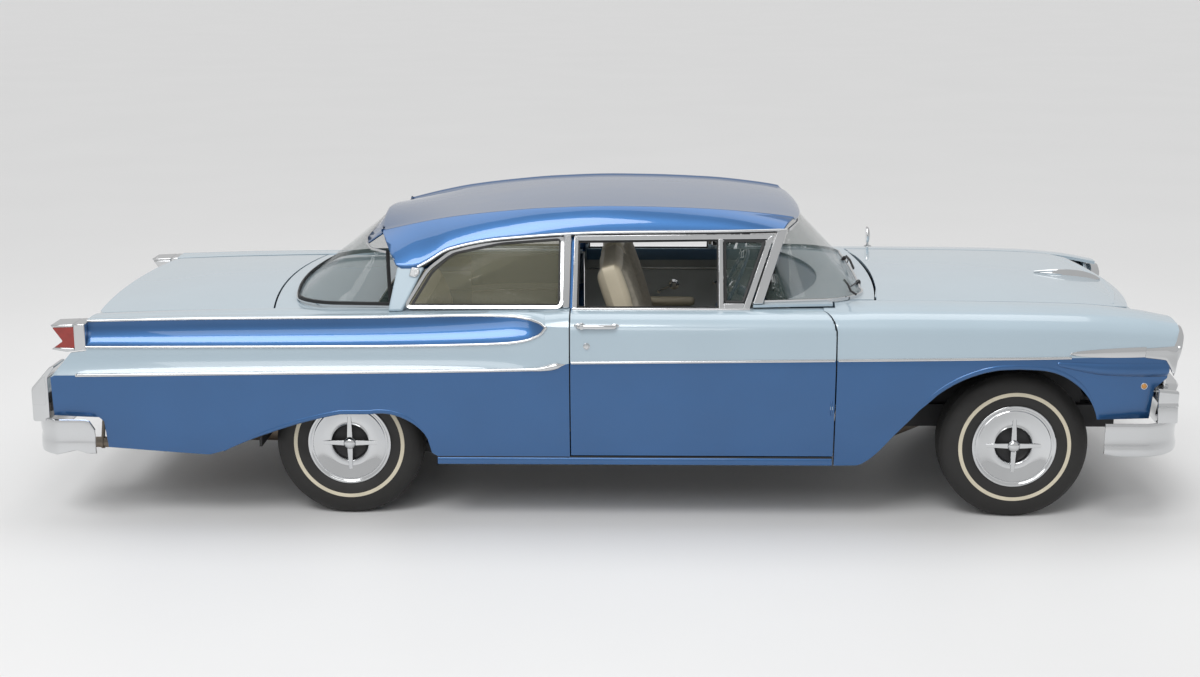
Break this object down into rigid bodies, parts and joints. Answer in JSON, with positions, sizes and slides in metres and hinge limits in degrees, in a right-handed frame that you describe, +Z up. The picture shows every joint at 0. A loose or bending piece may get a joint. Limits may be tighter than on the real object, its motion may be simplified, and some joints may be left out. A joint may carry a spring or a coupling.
{
  "type": "two-door saloon car of the 1950s",
  "caption": "Full-size two-door car with finned rear, wrap-round windows and steel disc wheels; its doors, hood, deck lid, wheels and steering move.",
  "frame": {"origin": "centre of the bounding box at the ground, under the middle of the car", "axes": "+X towards the front of the car, +Y towards its left side, +Z up"},
  "size_m": [5.362, 2.009, 1.435],
  "materials": {
    "light_blue_paint": "gloss",
    "mid_blue_paint": "gloss",
    "chrome": "polished",
    "dark_steel": "satin",
    "bare_steel": "dull",
    "engine_iron": "cast",
    "window_glass": "clear",
    "lamp_glass": "fluted",
    "red_lens": "ribbed",
    "seat_cloth": "pleated",
    "dash_paint": "satin",
    "wheel_plastic": "gloss",
    "wheel_steel": "polished",
    "tyre": "moulded"
  },
  "bodies": {
    "body": {"chassis_frame": "dark_steel", "cross_members": "dark_steel", "floor_pan": "dark_steel", "wheelhouses": "dark_steel", "front_fender_right": "light_blue_paint", "front_fender_left": "light_blue_paint", "cowl": "light_blue_paint", "grille": "chrome", "front_bumper": "chrome", "quarter_panel_right": "light_blue_paint", "quarter_panel_left": "light_blue_paint", "rear_deck": "light_blue_paint", "tail_panel": "light_blue_paint", "rear_bumper": "chrome", "roof": "mid_blue_paint", "windscreen": "window_glass", "rear_window": "window_glass", "quarter_glass": "window_glass", "headlamps": "lamp_glass", "headlamp_bezels": "chrome", "tail_lamps": "red_lens", "tail_lamp_bezels": "chrome", "front_seat": "seat_cloth", "rear_seat": "seat_cloth", "dashboard": "dash_paint", "steering_column": "dash_paint", "engine": "engine_iron", "radiator": "dark_steel", "front_suspension": "dark_steel", "rear_axle": "dark_steel", "exhaust": "bare_steel", "fuel_tank": "bare_steel", "mirror": "chrome"},
    "hood": {"hood": "light_blue_paint"},
    "deck_lid": {"deck_lid": "light_blue_paint"},
    "door_right": {"door_right": "light_blue_paint", "vent_glass_right": "window_glass"},
    "door_left": {"door_left": "light_blue_paint", "vent_glass_left": "window_glass"},
    "steering_wheel": {"steering_wheel": "wheel_plastic"},
    "knuckle_right": {"knuckle_right": "dark_steel"},
    "knuckle_left": {"knuckle_left": "dark_steel"},
    "wheel_front_right": {"rim_front_right": "wheel_steel", "tyre_front_right": "tyre"},
    "wheel_front_left": {"rim_front_left": "wheel_steel", "tyre_front_left": "tyre"},
    "wheel_rear_right": {"rim_rear_right": "wheel_steel", "tyre_rear_right": "tyre"},
    "wheel_rear_left": {"rim_rear_left": "wheel_steel", "tyre_rear_left": "tyre"}
  },
  "joints": [
    {"name": "hood_hinge", "type": "hinge", "parent": "body", "child": "hood", "pos_m": [1.179, 0, 0.982], "axis": [0, -1, 0], "range_deg": [0, 50]},
    {"name": "deck_lid_hinge", "type": "hinge", "parent": "body", "child": "deck_lid", "pos_m": [-1.5, 0, 0.945], "axis": [0, 1, 0], "range_deg": [0, 55]},
    {"name": "door_right_hinge", "type": "hinge", "parent": "body", "child": "door_right", "pos_m": [1.026, -0.971, 0.6], "axis": [0, 0, 1], "range_deg": [0, 65]},
    {"name": "door_left_hinge", "type": "hinge", "parent": "body", "child": "door_left", "pos_m": [1.026, 0.971, 0.6], "axis": [0, 0, -1], "range_deg": [0, 65]},
    {"name": "steer_left", "type": "hinge", "parent": "body", "child": "knuckle_left", "pos_m": [1.889, 0.655, 0.346], "axis": [0, 0, 1], "range_deg": [-30, 30]},
    {"name": "steer_right", "type": "hinge", "parent": "body", "child": "knuckle_right", "pos_m": [1.889, -0.655, 0.346], "axis": [0, 0, 1], "range_deg": [-30, 30]},
    {"name": "steering_wheel_turn", "type": "hinge", "parent": "body", "child": "steering_wheel", "pos_m": [0.62, 0.38, 0.868], "axis": [-0.9046, 0, 0.4262], "range_deg": [-510, 510]},
    {"name": "spin_front_right", "type": "hinge", "parent": "knuckle_right", "child": "wheel_front_right", "pos_m": [1.889, -0.7545, 0.346], "axis": [0, 1, 0], "continuous": true},
    {"name": "spin_front_left", "type": "hinge", "parent": "knuckle_left", "child": "wheel_front_left", "pos_m": [1.889, 0.7545, 0.346], "axis": [0, 1, 0], "continuous": true},
    {"name": "spin_rear_right", "type": "hinge", "parent": "body", "child": "wheel_rear_right", "pos_m": [-1.21, -0.7495, 0.346], "axis": [0, 1, 0], "continuous": true},
    {"name": "spin_rear_left", "type": "hinge", "parent": "body", "child": "wheel_rear_left", "pos_m": [-1.21, 0.7495, 0.346], "axis": [0, 1, 0], "continuous": true}
  ],
  "couplings": [
    {"joint": "steer_right", "follows": "steer_left", "ratio": 1},
    {"joint": "steering_wheel_turn", "follows": "steer_left", "ratio": 17}
  ]
}
